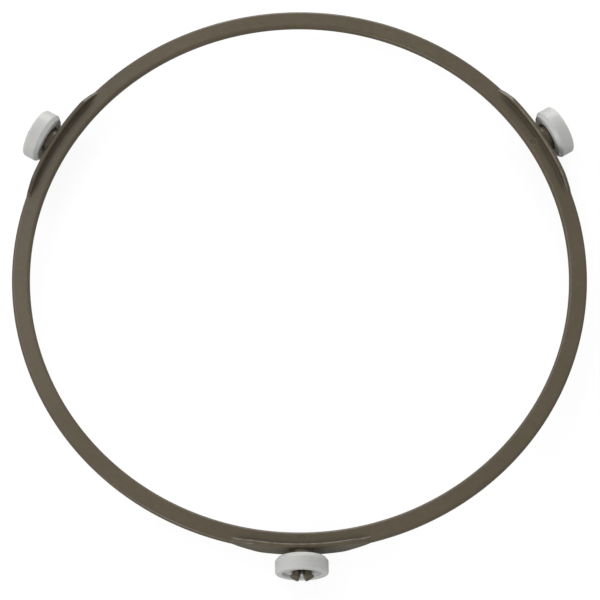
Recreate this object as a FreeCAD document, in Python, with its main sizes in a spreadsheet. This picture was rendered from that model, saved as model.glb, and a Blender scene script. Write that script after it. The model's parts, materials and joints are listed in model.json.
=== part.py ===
import FreeCAD, Part
import math
import os
import re

import Sketcher

# Roller ring that carries a microwave oven's glass tray: one moulded ring with three ears,
# and a roller snapped over the split stub axle of each ear.
# The ring's axis is Z, the oven floor is z = 0 and the first ear faces -Y.

rollerNames = ("roller_front", "roller_right", "roller_left")
frontAngle = -90
earPitch = 360 / len(rollerNames)

# Driving dimensions in millimetres
driving = {
    # Band
    "bandInnerRadius": 94.2,
    "bandWidth": 6.2,
    "bandHeight": 2.5,
    "bandAboveAxle": 2.4,
    "bandBevel": 0.7,
    # Ear, an upright plate that follows the band's outer edge and stands a little proud of it
    "earProud": 0.1,
    "earThickness": 1.6,
    "earRise": 5.3,
    "earDrop": 4.4,
    "earTopLength": 34,
    "earBottomLength": 29,
    "earLength": 50,
    "earEndHeight": 1,
    "earCorner": 7,
    # Boss and split stub axle
    "bossDiameter": 8.4,
    "axleDiameter": 6.5,
    "barbDiameter": 8,
    "barbSlope": 0.6,
    "barbLand": 0.5,
    "leadLength": 1.2,
    "tipDiameter": 4.4,
    "prongHeight": 5.2,
    "slotWidth": 2.3,
    # Round witness mark of the ejector pin behind each ear
    "markDiameter": 2.4,
    "markDepth": 0.3,
    # Roller, with a tapered flank beside the ear
    "rollerDiameter": 18,
    "treadWidth": 4.5,
    "treadBevel": 0.6,
    "flankDiameter": 15.6,
    "flankLength": 1.3,
    "dishDiameter": 13.6,
    "dishDepth": 1.1,
    "dishDraft": 0.3,
    "hubDiameter": 9.2,
    "hubRecess": 0.8,
    "seatDepth": 0.8,
    # Fits between the roller and the ring
    "earGap": 2,
    "boreClearance": 0.1,
    "seatClearance": 0.9,
    "endPlay": 0.2,
    "barbGap": 0.6,
}

doc = FreeCAD.newDocument("RollerRing")
sheet = doc.addObject("Spreadsheet::Sheet", "Sizes")
for row, (alias, value) in enumerate(driving.items(), start=1):
    sheet.set(f"A{row}", alias)
    sheet.set(f"B{row}", str(value))
    sheet.setAlias(f"B{row}", alias)
doc.recompute()

# Places along Z, worked out from the sheet
axleHeight = "(rollerDiameter / 2)"
bandTop = f"({axleHeight} + bandAboveAxle)"
bandBottom = f"({bandTop} - bandHeight)"
bandMiddle = f"({bandTop} - bandHeight / 2)"
earTop = f"({axleHeight} + earRise)"
earBottom = f"({axleHeight} - earDrop)"

# Places outwards from the ring's axis
bandOuter = "(bandInnerRadius + bandWidth)"
earOuter = f"({bandOuter} + earProud)"
earInner = f"({earOuter} - earThickness)"
earMiddle = f"({earOuter} - earThickness / 2)"
markCentre = f"((bandInnerRadius + {earInner}) / 2)"
rollerSeat = f"({earOuter} + earGap)"
bossEnd = f"({rollerSeat} + seatDepth - endPlay)"
barbStart = f"({rollerSeat} + flankLength + treadWidth - hubRecess + barbGap)"
barbFull = f"({barbStart} + barbSlope)"
leadStart = f"({barbFull} + barbLand)"
axleTip = f"({leadStart} + leadLength)"

# Radii about a roller's axis
boreRadius = "(axleDiameter / 2 + boreClearance)"
seatRadius = "(bossDiameter / 2 + seatClearance)"
treadRadius = "(rollerDiameter / 2)"
flankRadius = "(flankDiameter / 2)"
dishRadius = "(dishDiameter / 2)"
hubRadius = "(hubDiameter / 2)"


# An expression with the sheet's name in front of each size; a word before a bracket is a function
def bound(expression):
    return re.sub(r"\b[A-Za-z]\w*\b(?!\()", lambda word: "Sizes." + word.group(0), expression)


def number(expression):
    return float(sheet.evalExpression(bound(expression)))


def tie(item, path, expression):
    item.setExpression(path, bound(expression))


def originFeature(body, role):
    return next(feature for feature in body.Origin.OriginFeatures if feature.Role == role)


def addSketch(body, name, plane, lift=None):
    sketch = body.newObject("Sketcher::SketchObject", name)
    sketch.AttachmentSupport = [(originFeature(body, plane), "")]
    sketch.MapMode = "FlatFace"
    if lift:
        tie(sketch, "AttachmentOffset.Base.z", lift)
    return sketch


# Holds a vertex of a sketch at a place given by two expressions
def pin(sketch, geometry, vertex, across, up):
    for kind, axis, expression in (("DistanceX", -2, across), ("DistanceY", -1, up)):
        value = number(expression)
        if abs(value) < 1e-9:
            sketch.addConstraint(Sketcher.Constraint("PointOnObject", geometry, vertex, axis))
        elif value > 0:
            index = sketch.addConstraint(Sketcher.Constraint(kind, -1, 1, geometry, vertex, value))
            tie(sketch, f"Constraints[{index}]", expression)
        else:
            index = sketch.addConstraint(Sketcher.Constraint(kind, geometry, vertex, -1, 1, -value))
            tie(sketch, f"Constraints[{index}]", f"-({expression})")


# The two tangent points and the middle of the arc that rounds a corner
def roundCorner(before, corner, after, radius):
    back = (before - corner).normalize()
    ahead = (after - corner).normalize()
    halfAngle = back.getAngle(ahead) / 2
    inward = (back + ahead).normalize()
    reach = radius / math.tan(halfAngle)
    middle = corner + inward * (radius / math.sin(halfAngle) - radius)
    return corner + back * reach, middle, corner + ahead * reach


# A closed outline through corners (across, up) or rounded corners (across, up, radius)
def outline(sketch, corners):
    count = len(corners)
    points = [FreeCAD.Vector(number(corner[0]), number(corner[1]), 0) for corner in corners]
    rounds = {}
    for index, corner in enumerate(corners):
        if len(corner) == 3:
            before = points[index - 1]
            after = points[(index + 1) % count]
            rounds[index] = roundCorner(before, points[index], after, number(corner[2]))
    lines = []
    for index in range(count):
        following = (index + 1) % count
        start = rounds[index][2] if index in rounds else points[index]
        end = rounds[following][0] if following in rounds else points[following]
        lines.append(sketch.addGeometry(Part.LineSegment(start, end)))
    for index, corner in enumerate(corners):
        arriving = lines[index - 1]
        leaving = lines[index]
        if index not in rounds:
            sketch.addConstraint(Sketcher.Constraint("Coincident", arriving, 2, leaving, 1))
            pin(sketch, leaving, 1, corner[0], corner[1])
            continue
        arc = sketch.addGeometry(Part.Arc(*rounds[index]))
        first = 1 if sketch.getPoint(arc, 1).isEqual(rounds[index][0], 1e-6) else 2
        sketch.addConstraint(Sketcher.Constraint("Tangent", arriving, 2, arc, first))
        sketch.addConstraint(Sketcher.Constraint("Tangent", arc, 3 - first, leaving, 1))
        radius = sketch.addConstraint(Sketcher.Constraint("Radius", arc, number(corner[2])))
        tie(sketch, f"Constraints[{radius}]", corner[2])
        apex = sketch.addGeometry(Part.Point(points[index]), True)
        sketch.addConstraint(Sketcher.Constraint("PointOnObject", apex, 1, arriving))
        sketch.addConstraint(Sketcher.Constraint("PointOnObject", apex, 1, leaving))
        pin(sketch, apex, 1, corner[0], corner[1])


def rectangle(sketch, low, high):
    outline(sketch, [(low[0], low[1]), (high[0], low[1]), (high[0], high[1]), (low[0], high[1])])


def revolve(body, name, sketch, axis):
    feature = body.newObject("PartDesign::Revolution", name)
    feature.Profile = sketch
    feature.ReferenceAxis = axis
    return feature


# A pocket that has to take material away from the body
def pocket(body, name, sketch, side="One side", reverse=False, depth=None):
    doc.recompute()
    before = body.Tip.Shape.Volume
    feature = body.newObject("PartDesign::Pocket", name)
    feature.Profile = sketch
    feature.SideType = side
    feature.Reversed = reverse
    if depth:
        tie(feature, "Length", depth)
    else:
        feature.Type = "ThroughAll"
    doc.recompute()
    if not feature.Shape.Volume < before:
        raise RuntimeError(f"{name} cuts nothing")
    return feature


def repeatAround(body, name, originals):
    pattern = body.newObject("PartDesign::PolarPattern", name)
    if originals:
        pattern.Originals = originals
    else:
        pattern.TransformMode = "Whole shape"
    pattern.Axis = (originFeature(body, "Z_Axis"), [""])
    pattern.Angle = 360
    pattern.Occurrences = len(rollerNames)
    body.Tip = pattern
    doc.recompute()
    return pattern


# Ring frame, with its first ear on the body's own X axis
ring = doc.addObject("PartDesign::Body", "RingFrame")
ring.Label = "ring_frame"
ringAxis = (originFeature(ring, "Z_Axis"), [""])

# Ear: a wall on the band's outer edge, trimmed to its outline as seen from outside
wallSketch = addSketch(ring, "EarWallSketch", "XZ_Plane")
rectangle(wallSketch, (earInner, earBottom), (earOuter, earTop))
wall = revolve(ring, "EarWall", wallSketch, ringAxis)
wall.Midplane = True
tie(wall, "Angle", f"2 * asin(earLength / 2 / {earInner})")

trimSketch = addSketch(ring, "EarTrimSketch", "YZ_Plane")
rectangle(trimSketch, ("-earLength", f"{earBottom} - earThickness"), ("earLength", f"{earTop} + earThickness"))
endTop = f"{bandMiddle} + earEndHeight / 2"
endBottom = f"{bandMiddle} - earEndHeight / 2"
outline(trimSketch, [
    ("-earLength / 2", endTop),
    ("-earLength / 2", endBottom),
    ("-earBottomLength / 2", earBottom, "earCorner"),
    ("earBottomLength / 2", earBottom, "earCorner"),
    ("earLength / 2", endBottom),
    ("earLength / 2", endTop),
    ("earTopLength / 2", earTop, "earCorner"),
    ("-earTopLength / 2", earTop, "earCorner"),
])
pocket(ring, "EarTrim", trimSketch, reverse=True)

# Boss, stub axle and barbed head, turned about the axle
axleSketch = addSketch(ring, "AxleSketch", "XZ_Plane")
outline(axleSketch, [
    (earMiddle, axleHeight),
    (axleTip, axleHeight),
    (axleTip, f"{axleHeight} + tipDiameter / 2"),
    (leadStart, f"{axleHeight} + barbDiameter / 2"),
    (barbFull, f"{axleHeight} + barbDiameter / 2"),
    (barbStart, f"{axleHeight} + axleDiameter / 2"),
    (bossEnd, f"{axleHeight} + axleDiameter / 2"),
    (bossEnd, f"{axleHeight} + bossDiameter / 2"),
    (earMiddle, f"{axleHeight} + bossDiameter / 2"),
])
revolve(ring, "Axle", axleSketch, (axleSketch, ["Edge1"]))
doc.recompute()

# The slot parts the axle into two prongs, and flats let their heads pass the roller's bore
slotSketch = addSketch(ring, "SlotSketch", "XY_Plane")
rectangle(slotSketch, (bossEnd, "-slotWidth / 2"), (f"{axleTip} + leadLength", "slotWidth / 2"))
pocket(ring, "Slot", slotSketch, reverse=True)

flatSketch = addSketch(ring, "FlatSketch", "XZ_Plane")
for side in ("+", "-"):
    near = f"{axleHeight} {side} prongHeight / 2"
    far = f"{axleHeight} {side} barbDiameter"
    rectangle(flatSketch, (barbStart, near), (f"{axleTip} + leadLength", far))
pocket(ring, "Flats", flatSketch, side="Symmetric")

repeatAround(ring, "Ears", [])

# Band
bandSketch = addSketch(ring, "BandSketch", "XZ_Plane")
outline(bandSketch, [
    ("bandInnerRadius", bandBottom),
    (bandOuter, bandBottom),
    (bandOuter, f"{bandTop} - bandBevel"),
    (f"{bandOuter} - bandBevel", bandTop),
    ("bandInnerRadius + bandBevel", bandTop),
    ("bandInnerRadius", f"{bandTop} - bandBevel"),
])
revolve(ring, "Band", bandSketch, ringAxis)
doc.recompute()

# Ejector marks on the band's top behind the ears
markSketch = addSketch(ring, "MarkSketch", "XY_Plane", lift=bandTop)
mark = markSketch.addGeometry(Part.Circle(FreeCAD.Vector(number(markCentre), 0, 0), FreeCAD.Vector(0, 0, 1),
                                          number("markDiameter / 2")))
pin(markSketch, mark, 3, markCentre, "0")
markSize = markSketch.addConstraint(Sketcher.Constraint("Diameter", mark, number("markDiameter")))
tie(markSketch, f"Constraints[{markSize}]", "markDiameter")
marks = pocket(ring, "Mark", markSketch, depth="markDepth")
repeatAround(ring, "Marks", [marks])

ring.Placement.Rotation = FreeCAD.Rotation(frontAngle, 0, 0)


# Roller, turned about its own Z axis, which points away from the ring's middle
def addRoller(name, angle):
    roller = doc.addObject("PartDesign::Body", name)
    roller.Label = name
    sketch = addSketch(roller, name + "_section", "XZ_Plane")
    width = "(flankLength + treadWidth)"
    dishFloor = f"({width} - dishDepth)"
    hubFace = f"({width} - hubRecess)"
    outline(sketch, [
        (seatRadius, "0"),
        (flankRadius, "0"),
        (treadRadius, "flankLength"),
        (treadRadius, f"{width} - treadBevel"),
        (f"{treadRadius} - treadBevel", width),
        (dishRadius, width),
        (f"{dishRadius} - dishDraft", dishFloor),
        (hubRadius, dishFloor),
        (hubRadius, hubFace),
        (boreRadius, hubFace),
        (boreRadius, "seatDepth"),
        (seatRadius, "seatDepth"),
    ])
    revolve(roller, name + "_turned", sketch, (originFeature(roller, "Z_Axis"), [""]))
    roller.Placement.Rotation = FreeCAD.Rotation(angle, 90, 0)
    tie(roller, "Placement.Base.x", f"{rollerSeat} * cos({angle})")
    tie(roller, "Placement.Base.y", f"{rollerSeat} * sin({angle})")
    tie(roller, "Placement.Base.z", axleHeight)
    return roller


rollers = [addRoller(name, frontAngle + earPitch * place) for place, name in enumerate(rollerNames)]
doc.recompute()

# Nothing is written unless every object is sound
for item in doc.Objects:
    if "Invalid" in item.State or "Error" in item.State:
        raise RuntimeError(f"{item.Label} failed: {item.State}")
subParts = [ring] + rollers
for item in subParts:
    if item.Shape.isNull() or not item.Shape.isValid():
        raise RuntimeError(f"{item.Label} has no sound shape")
    if len(item.Shape.Solids) != 1:
        raise RuntimeError(f"{item.Label} has {len(item.Shape.Solids)} solids")

os.makedirs("parts", exist_ok=True)
for item in subParts:
    item.Shape.exportStep(f"parts/{item.Label}.step")
    print(item.Label, round(item.Shape.Volume, 2), item.Shape.BoundBox)
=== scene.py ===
import json
import math
import bmesh
import bpy
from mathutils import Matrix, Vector


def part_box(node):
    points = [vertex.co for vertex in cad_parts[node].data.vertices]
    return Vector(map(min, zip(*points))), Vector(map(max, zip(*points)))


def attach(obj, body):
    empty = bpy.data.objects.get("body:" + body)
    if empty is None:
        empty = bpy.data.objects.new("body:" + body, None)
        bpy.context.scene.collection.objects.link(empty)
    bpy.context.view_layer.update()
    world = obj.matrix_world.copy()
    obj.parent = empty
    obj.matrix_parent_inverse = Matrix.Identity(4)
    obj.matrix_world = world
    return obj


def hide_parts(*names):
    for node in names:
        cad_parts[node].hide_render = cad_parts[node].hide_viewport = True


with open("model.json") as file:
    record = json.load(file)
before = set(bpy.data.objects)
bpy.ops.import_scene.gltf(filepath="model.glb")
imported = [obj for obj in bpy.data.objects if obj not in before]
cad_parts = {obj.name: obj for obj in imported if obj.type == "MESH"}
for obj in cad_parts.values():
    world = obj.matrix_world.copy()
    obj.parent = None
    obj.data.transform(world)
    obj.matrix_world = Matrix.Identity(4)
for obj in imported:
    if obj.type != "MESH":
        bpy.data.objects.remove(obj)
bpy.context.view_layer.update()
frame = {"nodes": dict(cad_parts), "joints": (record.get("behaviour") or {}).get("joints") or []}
print("frame: " + ", ".join(sorted(frame["nodes"])))

mm = 0.001  # shapes are worked out in millimetres
sharpAngle = 38  # degrees; an edge that turns by more stays sharp
halfStep = 0.5  # turns a round form so that its points miss those of the form that it meets
noiseMiddle = 0.5
ringLow, ringHigh = [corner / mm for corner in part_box("ring_frame")]
rollerLow, rollerHigh = [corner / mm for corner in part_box("roller_front")]
spins = {joint["child"]: joint for joint in frame["joints"]}
axleHeight = spins["front_wheel"]["pos_m"][2] / mm
rollerSeat = -rollerHigh.y  # inner faces of the rollers, out from the ring's axis
rollerWidth = rollerHigh.y - rollerLow.y
rollerNodes = {"front_wheel": "roller_front", "right_wheel": "roller_right", "left_wheel": "roller_left"}
earTurn = 360 / len(spins)  # degrees from one ear to the next
frontTurn = -90  # the front axle points along -Y


def smooth(value):
    level = min(1.0, max(0.0, value))
    return level * level * (3 - 2 * level)


def blendOf(first, second, share):
    return first + (second - first) * share


def makeMesh(name, points, faces):
    mesh = bpy.data.meshes.new(name)
    mesh.from_pydata([Vector(point) * mm for point in points], [], faces)
    mesh.update()
    return mesh


def addPiece(name, data):
    piece = bpy.data.objects.new(name, data)
    bpy.context.scene.collection.objects.link(piece)
    return piece


# the points of an elliptic arc, its ends included, angles in degrees
def arc(across, up, wide, high, start, end, steps):
    turns = [math.radians(blendOf(start, end, step / steps)) for step in range(steps + 1)]
    return [(across + wide * math.cos(turn), up + high * math.sin(turn)) for turn in turns]


# points between two ends, with one close to each end so that flat stretches shade flat
def run(start, end, steps, guard=0.08, most=0.25):
    length = math.dist(start, end)
    margin = min(guard / length, most) if length else most
    shares = [blendOf(margin, 1 - margin, step / steps) for step in range(steps + 1)]
    return [(blendOf(start[0], end[0], share), blendOf(start[1], end[1], share)) for share in shares]


# a line through (across, up, radius) corners, each rounded by its radius
def roundedLine(corners, closed, turnStep=15, leastSteps=2, flatSteps=2):
    arcs = []
    for index, (across, up, radius) in enumerate(corners):
        corner = Vector((across, up))
        back = (Vector(corners[index - 1][:2]) - corner).normalized()
        ahead = (Vector(corners[(index + 1) % len(corners)][:2]) - corner).normalized()
        if radius == 0:
            arcs.append([(across, up)])
            continue
        half = back.angle(ahead) / 2
        centre = corner + (back + ahead).normalized() * (radius / math.sin(half))
        first = corner + back * (radius / math.tan(half)) - centre
        last = corner + ahead * (radius / math.tan(half)) - centre
        turn = first.angle_signed(last)
        steps = max(leastSteps, math.ceil(abs(math.degrees(turn)) / turnStep))
        start = math.atan2(first.y, first.x)
        turns = [start - turn * step / steps for step in range(steps + 1)]
        arcs.append([(centre.x + radius * math.cos(a), centre.y + radius * math.sin(a)) for a in turns])
    points = []
    for index, bend in enumerate(arcs):
        points += bend
        if closed or index + 1 < len(arcs):
            points += run(bend[-1], arcs[(index + 1) % len(arcs)][0], flatSteps)
    return points


# turns a closed (radius, along) line about local Z, starting a share of a step round
def turned(name, line, steps, shift=0):
    points = []
    rows = []
    for radius, along in line:
        if radius == 0:  # on the axis, where all the steps share a point
            rows.append([len(points)] * steps)
            points.append((0, 0, along))
            continue
        rows.append(list(range(len(points), len(points) + steps)))
        for step in range(steps):
            angle = 2 * math.pi * (step + shift) / steps
            points.append((radius * math.cos(angle), radius * math.sin(angle), along))
    faces = []
    for index, row in enumerate(rows):
        above = rows[(index + 1) % len(rows)]
        if row[0] == row[1] and above[0] == above[1]:
            continue
        for step in range(steps):
            beside = (step + 1) % steps
            ring = [row[step], row[beside], above[beside], above[step]]
            faces.append(list(dict.fromkeys(ring)))
    return makeMesh(name, points, faces)


# swaps a piece's mesh for the one that its modifiers give
def applyModifiers(piece):
    graph = bpy.context.evaluated_depsgraph_get()
    piece.data = bpy.data.meshes.new_from_object(piece.evaluated_get(graph))
    piece.modifiers.clear()


def carve(piece, tool, operation):
    cut = piece.modifiers.new("carve", "BOOLEAN")
    cut.operation = operation
    cut.solver = "EXACT"
    cut.object = tool
    applyModifiers(piece)
    bpy.data.objects.remove(tool)


# joins the points that the carving left on top of each other
def weld(piece, distance):
    work = bmesh.new()
    work.from_mesh(piece.data)
    bmesh.ops.remove_doubles(work, verts=work.verts, dist=distance)
    work.to_mesh(piece.data)
    work.free()


def shadeByAngle(piece):
    mesh = piece.data
    mesh.polygons.foreach_set("use_smooth", [True] * len(mesh.polygons))
    mesh.set_sharp_from_angle(angle=math.radians(sharpAngle))


# a piece whose local Z points out along an axle, at a distance from the ring's axis
def placeOnAxle(piece, body, out):
    outward = Vector(spins[body]["axis"])
    piece.location = (outward * out + Vector((0, 0, axleHeight))) * mm
    piece.rotation_mode = "QUATERNION"
    piece.rotation_quaternion = outward.to_track_quat("Z", "Y")


# the moulded ring: a band whose outer edge rises and drops into an ear at each axle
ringSizes = {
    "innerRadius": 94.2,
    "outerRadius": ringHigh.y,
    "bandTop": axleHeight + 2.4,
    "bandBottom": axleHeight - 0.1,
    "topRound": 1.0,
    "bottomRound": 0.3,
    "earOuter": 100.5,
    "earInner": 98.9,
    "earTop": ringHigh.z,
    "earBottom": ringLow.z,
    "earTopHalf": 17.0,
    "earBottomHalf": 14.5,
    "earHalf": 25.0,
    "earEndTop": axleHeight + 1.65,
    "earEndBottom": axleHeight + 0.65,
    "earCorner": 7.0,
    "rimRound": 0.3,
    "rimOuterRound": 0.9,
    "cove": 0.5,
    "leastWall": 0.15,     # upright stretch left between a cove and a rim's rounding
    "draft": 0.06,
    "earReach": 16,        # degrees each side of an axle that take the fine steps
    "fineSteps": 120,
    "plainSteps": 44,
    # points along the bends of the section, and along the stretches between them
    "bendSteps": {"bottomRound": 4, "cove": 5, "rim": 5, "lowerRound": 6, "topRound": 8},
    "flatSteps": {"band": 4, "earWall": 3, "rimTop": 1, "outerFace": 9, "innerFace": 2},
    "weld": 0.0002,        # points closer than this are joined after the carving
}


# how far an ear's edge stands off its level stretch, at a distance from the ear's middle
def rimFall(across, half, fall):
    slope = math.atan2(fall, ringSizes["earHalf"] - half)
    radius = ringSizes["earCorner"]
    tangent = radius * math.tan(slope / 2)
    past = min(abs(across), ringSizes["earHalf"]) - (half - tangent)
    if past <= 0:
        return 0
    if past < tangent * (1 + math.cos(slope)):
        return radius - math.sqrt(radius * radius - past * past)
    return (past - tangent) * math.tan(slope)


# how far the ear stands above and below the band, at a radius and an angle off its middle
def earHeights(radius, turn):
    s = ringSizes
    across = radius * math.sin(turn)
    top = s["earTop"] - rimFall(across, s["earTopHalf"], s["earTop"] - s["earEndTop"])
    bottom = s["earBottom"] + rimFall(across, s["earBottomHalf"], s["earEndBottom"] - s["earBottom"])
    return max(0, top - s["bandTop"]), max(0, s["bandBottom"] - bottom)


# the moulding's section at an angle off the ear's middle, anticlockwise from the inner lower edge
def ringSection(turn):
    s = ringSizes
    inner, face, rim, cove = s["innerRadius"], s["earInner"], s["rimRound"], s["cove"]
    bandTop, bandBottom = s["bandTop"], s["bandBottom"]
    topRound, bottomRound = s["topRound"], s["bottomRound"]
    innerRise, innerDrop = earHeights(face, turn)
    outerRise, outerDrop = earHeights(s["earOuter"], turn)
    up = smooth(outerRise)
    down = smooth(outerDrop)
    outer = blendOf(s["outerRadius"], s["earOuter"], max(up, down))
    upperRound = blendOf(topRound, s["rimOuterRound"], up)
    lowerRound = blendOf(bottomRound, rim, down)
    fullHeight = rim + cove + s["leastWall"]
    upScale = min(1, innerRise / fullHeight)
    downScale = min(1, innerDrop / fullHeight)
    top = bandTop + innerRise
    bottom = bandBottom - innerDrop
    outerTop = bandTop + outerRise
    outerBottom = bandBottom - outerDrop
    drafted = face + s["draft"]
    # each bend's centre, radius, flattening, angles and name, and the stretch that follows it
    bends = [
        (inner + bottomRound, bandBottom + bottomRound, bottomRound, 1, 180, 270, "bottomRound", "band"),
        (face - cove, bandBottom - cove * downScale, cove, downScale, 90, 0, "cove", "earWall"),
        (drafted + rim, bottom + rim * downScale, rim, downScale, 180, 270, "rim", "rimTop"),
        (outer - lowerRound, outerBottom + lowerRound, lowerRound, 1, 270, 360, "lowerRound", "outerFace"),
        (outer - upperRound, outerTop - upperRound, upperRound, 1, 0, 90, "topRound", "rimTop"),
        (drafted + rim, top - rim * upScale, rim, upScale, 90, 180, "rim", "earWall"),
        (face - cove, bandTop + cove * upScale, cove, upScale, 0, -90, "cove", "band"),
        (inner + topRound, bandTop - topRound, topRound, 1, 90, 180, "topRound", "innerFace"),
    ]
    parts = []
    for across, height, radius, flatness, first, last, name, stretch in bends:
        bend = arc(across, height, radius, radius * flatness, first, last, s["bendSteps"][name])
        parts.append((bend, s["flatSteps"][stretch]))
    section = []
    for index, (bend, between) in enumerate(parts):
        section += bend
        section += run(bend[-1], parts[(index + 1) % len(parts)][0][0], between)
    return section


def ringBand():
    s = ringSizes
    reach, plain = s["earReach"], earTurn / 2 - s["earReach"]
    turns = [-earTurn / 2 + plain * step / s["plainSteps"] for step in range(s["plainSteps"])]
    turns += [-reach + 2 * reach * step / s["fineSteps"] for step in range(s["fineSteps"])]
    turns += [reach + plain * step / s["plainSteps"] for step in range(s["plainSteps"])]
    sections = [ringSection(math.radians(turn)) for turn in turns]
    points = []
    for ear in range(len(spins)):
        for turn, section in zip(turns, sections):
            angle = math.radians(turn + earTurn * ear + frontTurn)
            points += [(r * math.cos(angle), r * math.sin(angle), z) for r, z in section]
    count = len(sections[0])
    stations = len(spins) * len(turns)
    faces = []
    for station in range(stations):
        here, ahead = station * count, (station + 1) % stations * count
        for place in range(count):
            beside = (place + 1) % count
            faces.append((here + place, ahead + place, ahead + beside, here + beside))
    return addPiece("ring_moulding", makeMesh("ring_moulding", points, faces))


# the split stub axle that snaps into a roller, along local Z from the ring's axis
axleSizes = {
    "root": 99.7,
    "rootRound": 0.17,
    "rootSink": 0.03,
    "bossRadius": 4.2,
    "bossEnd": rollerSeat + 0.6,
    "bossRound": 0.2,
    "sink": 0.4,           # the prongs start this far inside the boss
    "radius": 3.25,
    "barbStart": rollerSeat + rollerWidth - 0.2,
    "barbSlope": 0.6,
    "barbLand": 0.5,
    "barbRadius": 4.0,
    "tip": -ringLow.y,
    "tipRadius": 2.2,
    "barbRound": 0.3,
    "leadRound": 0.4,
    "slotHalf": 1.15,
    "slotLowHalf": 0.4,    # at the underside, where the mould's draft has narrowed it
    "mouthHalf": 1.3,
    "mouthLength": 2.2,
    "headHalf": 2.6,
    "flatBlend": 0.3,
    "edge": 0.28,
    "steps": 96,
    "directions": 64,      # points round a prong's outline
    "crownSteps": 6,
}


def axleBoss(name):
    s = axleSizes
    flare = ringSizes["earOuter"] - s["rootSink"]
    line = roundedLine([
        (0, s["root"], 0),
        (s["bossRadius"] + s["rootRound"], s["root"], 0),
        (s["bossRadius"] + s["rootRound"], flare, 0),
        (s["bossRadius"], flare + s["rootRound"], 0),
        (s["bossRadius"], s["bossEnd"], s["bossRound"]),
        (0, s["bossEnd"], 0),
    ], closed=False)
    return addPiece(name, turned(name, line, s["steps"], halfStep))


# a prong's rounded outline across the axle: past the drafted slot, inside a radius and between two flats
def prongOutline(radius, half, mouth, inset):
    s = axleSizes
    reach = radius - s["edge"]
    levels = {}
    corners = []
    for way, name in ((1, "slotHalf"), (-1, "slotLowHalf")):
        slot = blendOf(s[name], s["mouthHalf"], mouth)
        near = slot + s["edge"]
        level = min(half - s["edge"], math.sqrt(reach * reach - near * near))
        levels[way] = level
        corners += [(near, way * level), (math.sqrt(reach * reach - level * level), way * level)]
    points = []
    for step in range(s["directions"]):
        turn = 2 * math.pi * (step + halfStep) / s["directions"]
        across, up = math.cos(turn), math.sin(turn)
        inside = across > 0 and abs(reach * up) <= levels[1 if up > 0 else -1]
        choices = corners + ([(reach * across, reach * up)] if inside else [])
        best = max(choices, key=lambda point: point[0] * across + point[1] * up)
        points.append((best[0] + (s["edge"] - inset) * across, best[1] + (s["edge"] - inset) * up))
    return points


# one springy half of the split axle, with its barb and lead; the other is its mirror image
def axleProng(name, side):
    s = axleSizes
    barbFull = s["barbStart"] + s["barbSlope"]
    leadStart = barbFull + s["barbLand"]
    line = roundedLine([
        (s["radius"], s["bossEnd"] - s["sink"], 0),
        (s["radius"], s["barbStart"], s["barbRound"]),
        (s["barbRadius"], barbFull, s["barbRound"]),
        (s["barbRadius"], leadStart, s["leadRound"]),
        (s["tipRadius"], s["tip"], 0),
    ], closed=False, turnStep=9)
    crown = s["tip"] - s["edge"]  # the end's rounding starts here
    layers = []
    for radius, along in line:
        if along < crown:
            flat = smooth((along - s["barbStart"]) / s["flatBlend"] + 0.5)  # half in at the barb's start
            layers.append((along, radius, blendOf(s["radius"], s["headHalf"], flat), 0))
    lead = (s["barbRadius"] - s["tipRadius"]) / (s["tip"] - leadStart)
    for step in range(s["crownSteps"] + 1):
        turn = math.pi / 2 * step / s["crownSteps"]
        along = crown + s["edge"] * math.sin(turn)
        radius = s["tipRadius"] + lead * (s["tip"] - along)
        layers.append((along, radius, s["headHalf"], s["edge"] * (1 - math.cos(turn))))
    points = []
    for along, radius, half, inset in layers:
        mouth = max(0, 1 - (s["tip"] - along) / s["mouthLength"])
        outline = prongOutline(radius, half, mouth, inset)
        points += [(side * x, y, along) for x, y in outline[::side]]
    count = s["directions"]
    faces = [list(reversed(range(count))), list(range(len(points) - count, len(points)))]
    for low in range(0, len(points) - count, count):
        for step in range(count):
            beside = (step + 1) % count
            faces.append((low + step, low + beside, low + count + beside, low + count + step))
    return addPiece(name, makeMesh(name, points, faces))


def stubAxle(name):
    axle = axleBoss(name)
    for side in (-1, 1):
        carve(axle, axleProng("prong", side), "UNION")
    return axle


# the round mark that the mould leaves on the band's top behind each ear
markSizes = {
    "centre": 96.55,
    "radius": 1.2,
    "depths": {"front_wheel": 0.1, "right_wheel": 0.3, "left_wheel": 0.1},  # two are all but flush
    "lipShare": 0.4,       # of the depth
    "lipSteps": 4,
    "steps": 48,
}


def markTool(name, depth):
    s = markSizes
    lip = depth * s["lipShare"]
    line = [(0, -depth), (s["radius"] - lip, -depth)]
    line += arc(s["radius"] + lip, -lip, lip, lip, 180, 90, s["lipSteps"])
    line += [(s["radius"] + lip, lip), (0, lip)]
    return addPiece(name, turned(name, line, s["steps"], halfStep))


def makeRing():
    ring = ringBand()
    for body in spins:
        axle = stubAxle("axle_" + body)
        placeOnAxle(axle, body, 0)
        carve(ring, axle, "UNION")
        mark = markTool("mark_" + body, markSizes["depths"][body])
        mark.location = Vector(spins[body]["axis"]) * markSizes["centre"] * mm
        mark.location.z = ringSizes["bandTop"] * mm
        carve(ring, mark, "DIFFERENCE")
    weld(ring, ringSizes["weld"] * mm)
    shadeByAngle(ring)
    print("ring moulding: " + str(len(ring.data.polygons)) + " faces")
    return ring


# a roller, turned about local Z with its inner face at zero
rollerSizes = {
    "treadRadius": (rollerHigh.z - rollerLow.z) / 2,
    "treadRound": 0.7,
    "flankRadius": 7.8,
    "flankLength": 1.3,
    "flankRound": 0.5,
    "dishRadius": 6.8,
    "dishDraft": 0.3,
    "dishDepth": 1.1,
    "dishRound": 0.2,
    "hubRadius": 4.6,
    "hubRecess": 0.8,
    "boreRadius": 3.35,
    "seatRadius": 5.1,
    "seatDepth": 0.8,
    "boreRound": 0.15,
    "steps": 160,
}


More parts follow.
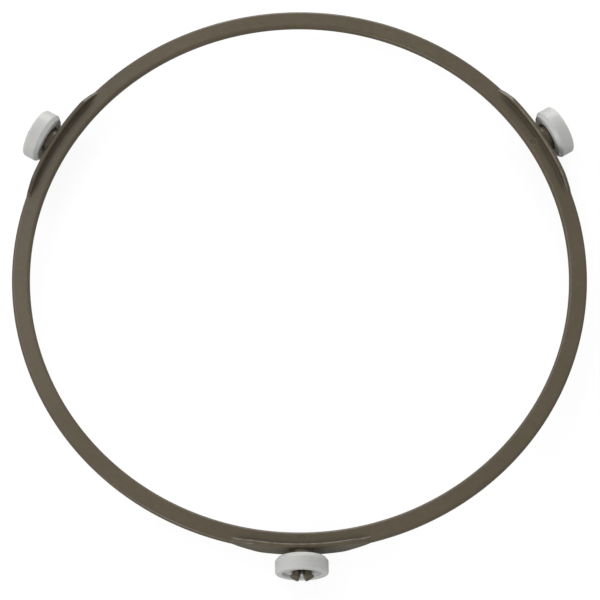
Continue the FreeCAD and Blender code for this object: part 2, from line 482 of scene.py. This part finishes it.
def makeRoller(body):
    s = rollerSizes
    name = "white_" + rollerNodes[body]
    floor = rollerWidth - s["dishDepth"]
    hubFace = rollerWidth - s["hubRecess"]
    line = roundedLine([
        (s["seatRadius"], 0, s["boreRound"]),
        (s["flankRadius"], 0, s["flankRound"]),
        (s["treadRadius"], s["flankLength"], s["flankRound"]),
        (s["treadRadius"], rollerWidth, s["treadRound"]),
        (s["dishRadius"], rollerWidth, s["dishRound"]),
        (s["dishRadius"] - s["dishDraft"], floor, s["dishRound"]),
        (s["hubRadius"], floor, s["dishRound"]),
        (s["hubRadius"], hubFace, s["dishRound"]),
        (s["boreRadius"], hubFace, s["boreRound"]),
        (s["boreRadius"], s["seatDepth"], s["boreRound"]),
        (s["seatRadius"], s["seatDepth"], s["boreRound"]),
    ], closed=True)
    roller = addPiece(name, turned(name, line, s["steps"]))
    shadeByAngle(roller)
    placeOnAxle(roller, body, rollerSeat)
    return roller


# a socket that takes part in Python sums and adds the nodes that they need
class Wire:
    def __init__(self, tree, socket=None):
        self.tree = tree
        self.socket = socket

    # any node: settings and ramp stops first, then the values or links of its inputs
    def node(self, kind, settings=None, inputs=None, output=0):
        made = self.tree.nodes.new(kind)
        for name, value in (settings or {}).items():
            if name == "stops":
                for stop, (place, colour) in zip(made.color_ramp.elements, value):
                    stop.position = place
                    stop.color = (*colour, 1)
            else:
                setattr(made, name, value)
        for name, value in (inputs or {}).items():
            if isinstance(value, Wire):
                self.tree.links.new(value.socket, made.inputs[name])
            else:
                made.inputs[name].default_value = value
        return Wire(self.tree, made.outputs[output] if made.outputs else None)

    def out(self, name):
        return Wire(self.tree, self.socket.node.outputs[name])

    def maths(self, operation, first, second=0.0):
        return self.node("ShaderNodeMath", {"operation": operation}, {0: first, 1: second})

    def __add__(self, other):
        return self.maths("ADD", self, other)

    def __radd__(self, other):
        return self.maths("ADD", other, self)

    def __sub__(self, other):
        return self.maths("SUBTRACT", self, other)

    def __rsub__(self, other):
        return self.maths("SUBTRACT", other, self)

    def __mul__(self, other):
        return self.maths("MULTIPLY", self, other)

    def __rmul__(self, other):
        return self.maths("MULTIPLY", other, self)

    # zero to one, smoothly, between two values
    def rise(self, start, end):
        settings = {"interpolation_type": "SMOOTHSTEP"}
        return self.node("ShaderNodeMapRange", settings, {"Value": self, "From Min": start, "From Max": end})

    def noise(self, scale, detail=2.0):
        return self.node("ShaderNodeTexNoise", None, {"Vector": self, "Scale": scale, "Detail": detail})

    def ramp(self, stops):
        return self.node("ShaderNodeValToRGB", {"stops": stops}, {"Fac": self})

    # a colour laid over this one by a share, through the colour sockets of a Mix node
    def under(self, share, colour):
        return self.node("ShaderNodeMix", {"data_type": "RGBA"}, {0: share, 6: self, 7: (*colour, 1)}, 2)

    def bump(self, distance):
        return self.node("ShaderNodeBump", None, {"Height": self, "Distance": distance})


def newLook(tree):
    tree.nodes.clear()
    return Wire(tree)


def newMaterial(name):
    material = bpy.data.materials.new(name)
    material.use_nodes = True
    return material, newLook(material.node_tree)


# a place's three parts in millimetres
def placeParts(place):
    split = place.node("ShaderNodeSeparateXYZ", None, {"Vector": place})
    return [split.out(name) * (1 / mm) for name in ("X", "Y", "Z")]


# the distance from an upright line, through the origin unless it is given
def distanceOut(x, y, centreX=0, centreY=0):
    across, along = x - centreX, y - centreY
    squares = across * across + along * along
    return squares.maths("SQRT", squares)


# brown-grey filled plastic with a fine moulded grain
ringLook = {
    "dark": (0.069, 0.053, 0.029),
    "light": (0.093, 0.073, 0.043),
    "shades": (0.32, 0.68),  # where the mixed noises are all dark and all light
    "driftScale": 24,
    "driftShare": 0.5,
    "mottleScale": 420,
    "mottleDetail": 4.0,
    "mottleShare": 0.3,
    "mottleRough": 0.12,
    "mottleRelief": 0.5,
    "grainScale": 2600,
    "grainShare": 0.2,
    "grainRough": 0.16,
    "grainDepth": 0.025 * mm,
    "roughness": 0.34,
    "ior": 1.45,
    # painted highlight tint for edges, rims and one mark; on the band's edges it is partly wear
    "wearAndHighlightTint": (0.20, 0.185, 0.155),
    "bandWearAndHighlight": 0.15,
    "bandPatches": (0.35, 0.75),
    "rimHighlight": 0.62,
    "rimPatches": (0.2, 0.6),
    "markHighlight": 0.3,
    "markWide": 0.5,
    "edgeWide": 0.7,
    "rimWide": 0.35,
    # painted shade tint, for the corners behind the ears and about the left ear
    "shadeTint": (0.030, 0.022, 0.012),
    "cornerShade": 0.62,
    "cornerShadeWide": 2.4,
    "cornerShadeHigh": 2.2,
    "earsFrom": 0.74,      # the sine of the angle times the number of ears is near one at each
    "earsFull": 0.86,
    # painted shade about the left ear, and darker still on its rim
    "leftEarShade": 0.16,         # about the left ear, and thicker on its rim
    "leftRimShade": 0.5,
    "leftShadeFrom": 80,
    "leftShadeFull": 95,
}


def ringMaterial():
    s = ringLook
    inner, outer, top = ringSizes["innerRadius"], ringSizes["outerRadius"], ringSizes["bandTop"]
    face, wide, rimWide = ringSizes["earInner"], s["edgeWide"], s["rimWide"]
    material, start = newMaterial("ring_plastic_look")
    place = start.node("ShaderNodeTexCoord", output="Object")
    x, y, height = placeParts(place)
    radius, angle = distanceOut(x, y), x.maths("ARCTAN2", y, x)
    drift = place.noise(s["driftScale"])
    mottle = place.noise(s["mottleScale"], s["mottleDetail"])
    grain = place.noise(s["grainScale"])
    shade = drift * s["driftShare"] + mottle * s["mottleShare"] + grain * s["grainShare"]
    # painted highlight along the band's upper edges, partly wear, and along the inner edges of the ears'
    # rims
    edges = 1 + radius.rise(outer - wide, outer) - radius.rise(inner, inner + wide)
    bandWearAndHighlight = edges * height.rise(top - wide, top) * mottle.rise(*s["bandPatches"])
    rim = radius.rise(face, face + rimWide / 2) - radius.rise(face + rimWide, face + rimWide * 2)
    onRim = height.rise(top + rimWide, top + wide)
    leftWay, rightWay = [spins[name]["axis"] for name in ("left_wheel", "right_wheel")]
    # painted shade about the left ear
    leftEarShade = (x * leftWay[0] + y * leftWay[1]).rise(s["leftShadeFrom"], s["leftShadeFull"])
    # painted highlight on the inner edges of the ears' rims, left out about the left ear
    rimHighlight = rim * onRim * mottle.rise(*s["rimPatches"]) * (1 - leftEarShade)
    # painted highlight round the plain one of the three marks
    centre, markRadius, markWide = markSizes["centre"], markSizes["radius"], s["markWide"]
    away = distanceOut(x, y, rightWay[0] * centre, rightWay[1] * centre)
    markHighlight = away.rise(markRadius - markWide / 2, markRadius) - away.rise(markRadius, markRadius + markWide)
    # painted shade in the corner behind each ear
    ears = angle.maths("SINE", angle * len(spins)).rise(s["earsFrom"], s["earsFull"])
    corner = radius.rise(face - s["cornerShadeWide"], face) - radius.rise(face, face + rimWide)
    cornerShade = ears * corner * (1 - height.rise(top, top + s["cornerShadeHigh"]))
    colour = shade.ramp(zip(s["shades"], (s["dark"], s["light"])))
    colour = colour.under(cornerShade * s["cornerShade"], s["shadeTint"])
    # painted shade about the left ear, darker on its rim
    shadedRim = (radius.rise(face, face + rimWide) - radius.rise(outer, outer + rimWide)) * onRim
    colour = colour.under(leftEarShade * (s["leftEarShade"] + shadedRim * s["leftRimShade"]), s["shadeTint"])
    # painted highlights laid over the colour; on the band's edges they are partly wear
    wearAndHighlight = bandWearAndHighlight * s["bandWearAndHighlight"] + rimHighlight * s["rimHighlight"] + markHighlight * s["markHighlight"]
    colour = colour.under(wearAndHighlight, s["wearAndHighlightTint"])
    rough = s["roughness"] + (grain - noiseMiddle) * s["grainRough"]
    rough = rough + (mottle - noiseMiddle) * s["mottleRough"]
    surface = start.node("ShaderNodeBsdfPrincipled", None, {
        "Base Color": colour,
        "Roughness": rough,
        "Normal": (grain + mottle * s["mottleRelief"]).bump(s["grainDepth"]),
        "IOR": s["ior"],
    })
    start.node("ShaderNodeOutputMaterial", None, {"Surface": surface})
    return material


# white low-friction plastic with faint rings from its mould and a tread dulled by running
rollerLook = {
    "dark": (0.44, 0.445, 0.43),
    "light": (0.52, 0.525, 0.51),
    "worn": (0.37, 0.37, 0.345),
    "shades": (0.3, 0.7),
    "wear": 0.4,
    "wearRings": (0.42, 0.68),
    "wearPatches": (0.3, 0.7),
    "wearRough": 0.12,
    "treadEdge": 0.4,
    "ringScale": 1.5,
    "ringShare": 0.4,
    "mottleScale": 330,
    "mottleDetail": 4.0,
    "mottleShare": 0.4,
    "grainScale": 2400,
    "grainShare": 0.2,
    "grainRough": 0.14,
    "grainRelief": 0.5,
    "grainDepth": 0.02 * mm,
    "roughness": 0.42,
    "ior": 1.48,
    "milky": 0.6,          # how much light goes in, and how far
    "milkyRadius": (1.0, 1.0, 1.0),
    "milkyDepth": 1.6 * mm,
}


def rollerMaterial():
    s = rollerLook
    tread = rollerSizes["treadRadius"]
    material, start = newMaterial("roller_plastic_look")
    place = start.node("ShaderNodeTexCoord", output="Object")
    x, y, height = placeParts(place)
    radius = distanceOut(x, y)
    turnedPlace = start.node("ShaderNodeCombineXYZ", None, {"X": radius, "Z": height})
    rings = turnedPlace.noise(s["ringScale"])
    mottle = place.noise(s["mottleScale"], s["mottleDetail"])
    grain = place.noise(s["grainScale"])
    shade = rings * s["ringShare"] + mottle * s["mottleShare"] + grain * s["grainShare"]
    onTread = radius.rise(tread - s["treadEdge"], tread)
    track = onTread * rings.rise(*s["wearRings"]) * mottle.rise(*s["wearPatches"])
    colour = shade.ramp(zip(s["shades"], (s["dark"], s["light"])))
    colour = colour.under(track * s["wear"], s["worn"])
    surface = start.node("ShaderNodeBsdfPrincipled", None, {
        "Base Color": colour,
        "Roughness": s["roughness"] + (grain - noiseMiddle) * s["grainRough"] + track * s["wearRough"],
        "Normal": (grain * s["grainRelief"] + rings).bump(s["grainDepth"]),
        "IOR": s["ior"],
        "Subsurface Weight": s["milky"],
        "Subsurface Radius": s["milkyRadius"],
        "Subsurface Scale": s["milkyDepth"],
    })
    start.node("ShaderNodeOutputMaterial", None, {"Surface": surface})
    return material


def dress(piece, material, body, node):
    piece.data.materials.clear()
    piece.data.materials.append(material)
    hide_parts(node)
    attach(piece, body)


dress(makeRing(), ringMaterial(), "ring", "ring_frame")
whitePlastic = rollerMaterial()
for body, node in rollerNodes.items():
    dress(makeRoller(body), whitePlastic, body, node)
print("rollers: " + ", ".join(rollerNodes.values()))

# a white studio floor, lit evenly where the camera sees it, with the shadow kept
floorLook = {
    "size": 6.0,
    "albedo": 0.85,
    "sheen": 0.35,         # what reflections see of it
    "shadowShare": 0.14,
    "glow": 0.88,
}


def makeFloor():
    s = floorLook
    half = s["size"] / 2 / mm
    corners = [(-half, -half, 0), (half, -half, 0), (half, half, 0), (-half, half, 0)]
    floor = addPiece("floor", makeMesh("floor", corners, [(0, 1, 2, 3)]))
    material, start = newMaterial("floor_look")
    path = start.node("ShaderNodeLightPath", output="Is Camera Ray")
    greys = [(s[name], s[name], s[name], 1) for name in ("albedo", "sheen", "shadowShare")]
    plain, sheen, shadow = [start.node("ShaderNodeBsdfDiffuse", None, {"Color": grey}) for grey in greys]
    glow = start.node("ShaderNodeEmission", None, {"Strength": s["glow"]})
    lit = start.node("ShaderNodeAddShader", None, {0: shadow, 1: glow})
    around = start.node("ShaderNodeMixShader", None, {0: path.out("Is Glossy Ray"), 1: plain, 2: sheen})
    surface = start.node("ShaderNodeMixShader", None, {0: path, 1: around, 2: lit})
    start.node("ShaderNodeOutputMaterial", None, {"Surface": surface})
    floor.data.materials.append(material)


# soft studio light: a white room, lamps from the upper left and low behind, and a fill from the left
studio = {
    "white": (1, 1, 1, 1),
    "room": 0.72,
    "backdrop": 1.0,       # what the camera sees of the room
    "lamps": {
        "key_lamp": {"place": (-0.40, 0.30, 0.55), "size": 0.5, "power": 1.4},
        "back_lamp": {"place": (0.0, 0.80, 0.28), "size": 0.4, "power": 3.2},
        "fill_lamp": {"place": (-0.50, -0.75, 0.28), "size": 0.4, "power": 2.4},
    },
}


def makeLight():
    s = studio
    world = bpy.data.worlds.new("studio")
    bpy.context.scene.world = world
    world.use_nodes = True
    start = newLook(world.node_tree)
    path = start.node("ShaderNodeLightPath", output="Is Camera Ray")
    seen = path.maths("MAXIMUM", path, path.out("Is Transmission Ray"))
    lights = [{"Color": s["white"], "Strength": s[name]} for name in ("room", "backdrop")]
    room, backdrop = [start.node("ShaderNodeBackground", None, light) for light in lights]
    surface = start.node("ShaderNodeMixShader", None, {0: seen, 1: room, 2: backdrop})
    start.node("ShaderNodeOutputWorld", None, {"Surface": surface})
    for name, lampSizes in s["lamps"].items():
        lamp = bpy.data.lights.new(name, "AREA")
        lamp.energy = lampSizes["power"]
        lamp.size = lampSizes["size"]
        holder = addPiece(name, lamp)
        holder.location = lampSizes["place"]
        holder.rotation_mode = "QUATERNION"
        holder.rotation_quaternion = Vector(lampSizes["place"]).to_track_quat("Z", "Y")


# the photograph's viewpoint, as fitted to the ring and its rollers
viewpoint = {
    "target": (0.112, -10.26, 9.0),
    "azimuth": 0.441,
    "elevation": 69.819,
    "distance": 893.03,
    "lens": 153.73,
    "sensor": 36,
}


def makeCamera():
    s = viewpoint
    side, up = math.radians(s["azimuth"]), math.radians(s["elevation"])
    back = Vector((-math.sin(side) * math.cos(up), -math.cos(side) * math.cos(up), math.sin(up)))
    camera = bpy.data.cameras.new("camera")
    camera.lens = s["lens"]
    camera.sensor_fit = "HORIZONTAL"
    camera.sensor_width = s["sensor"]
    holder = addPiece("camera", camera)
    holder.location = (Vector(s["target"]) + back * s["distance"]) * mm
    holder.rotation_mode = "QUATERNION"
    holder.rotation_quaternion = back.to_track_quat("Z", "Y")
    bpy.context.scene.camera = holder


makeFloor()
makeLight()
makeCamera()
bpy.context.scene.view_settings.view_transform = "Standard"
print("studio: floor, light and camera")
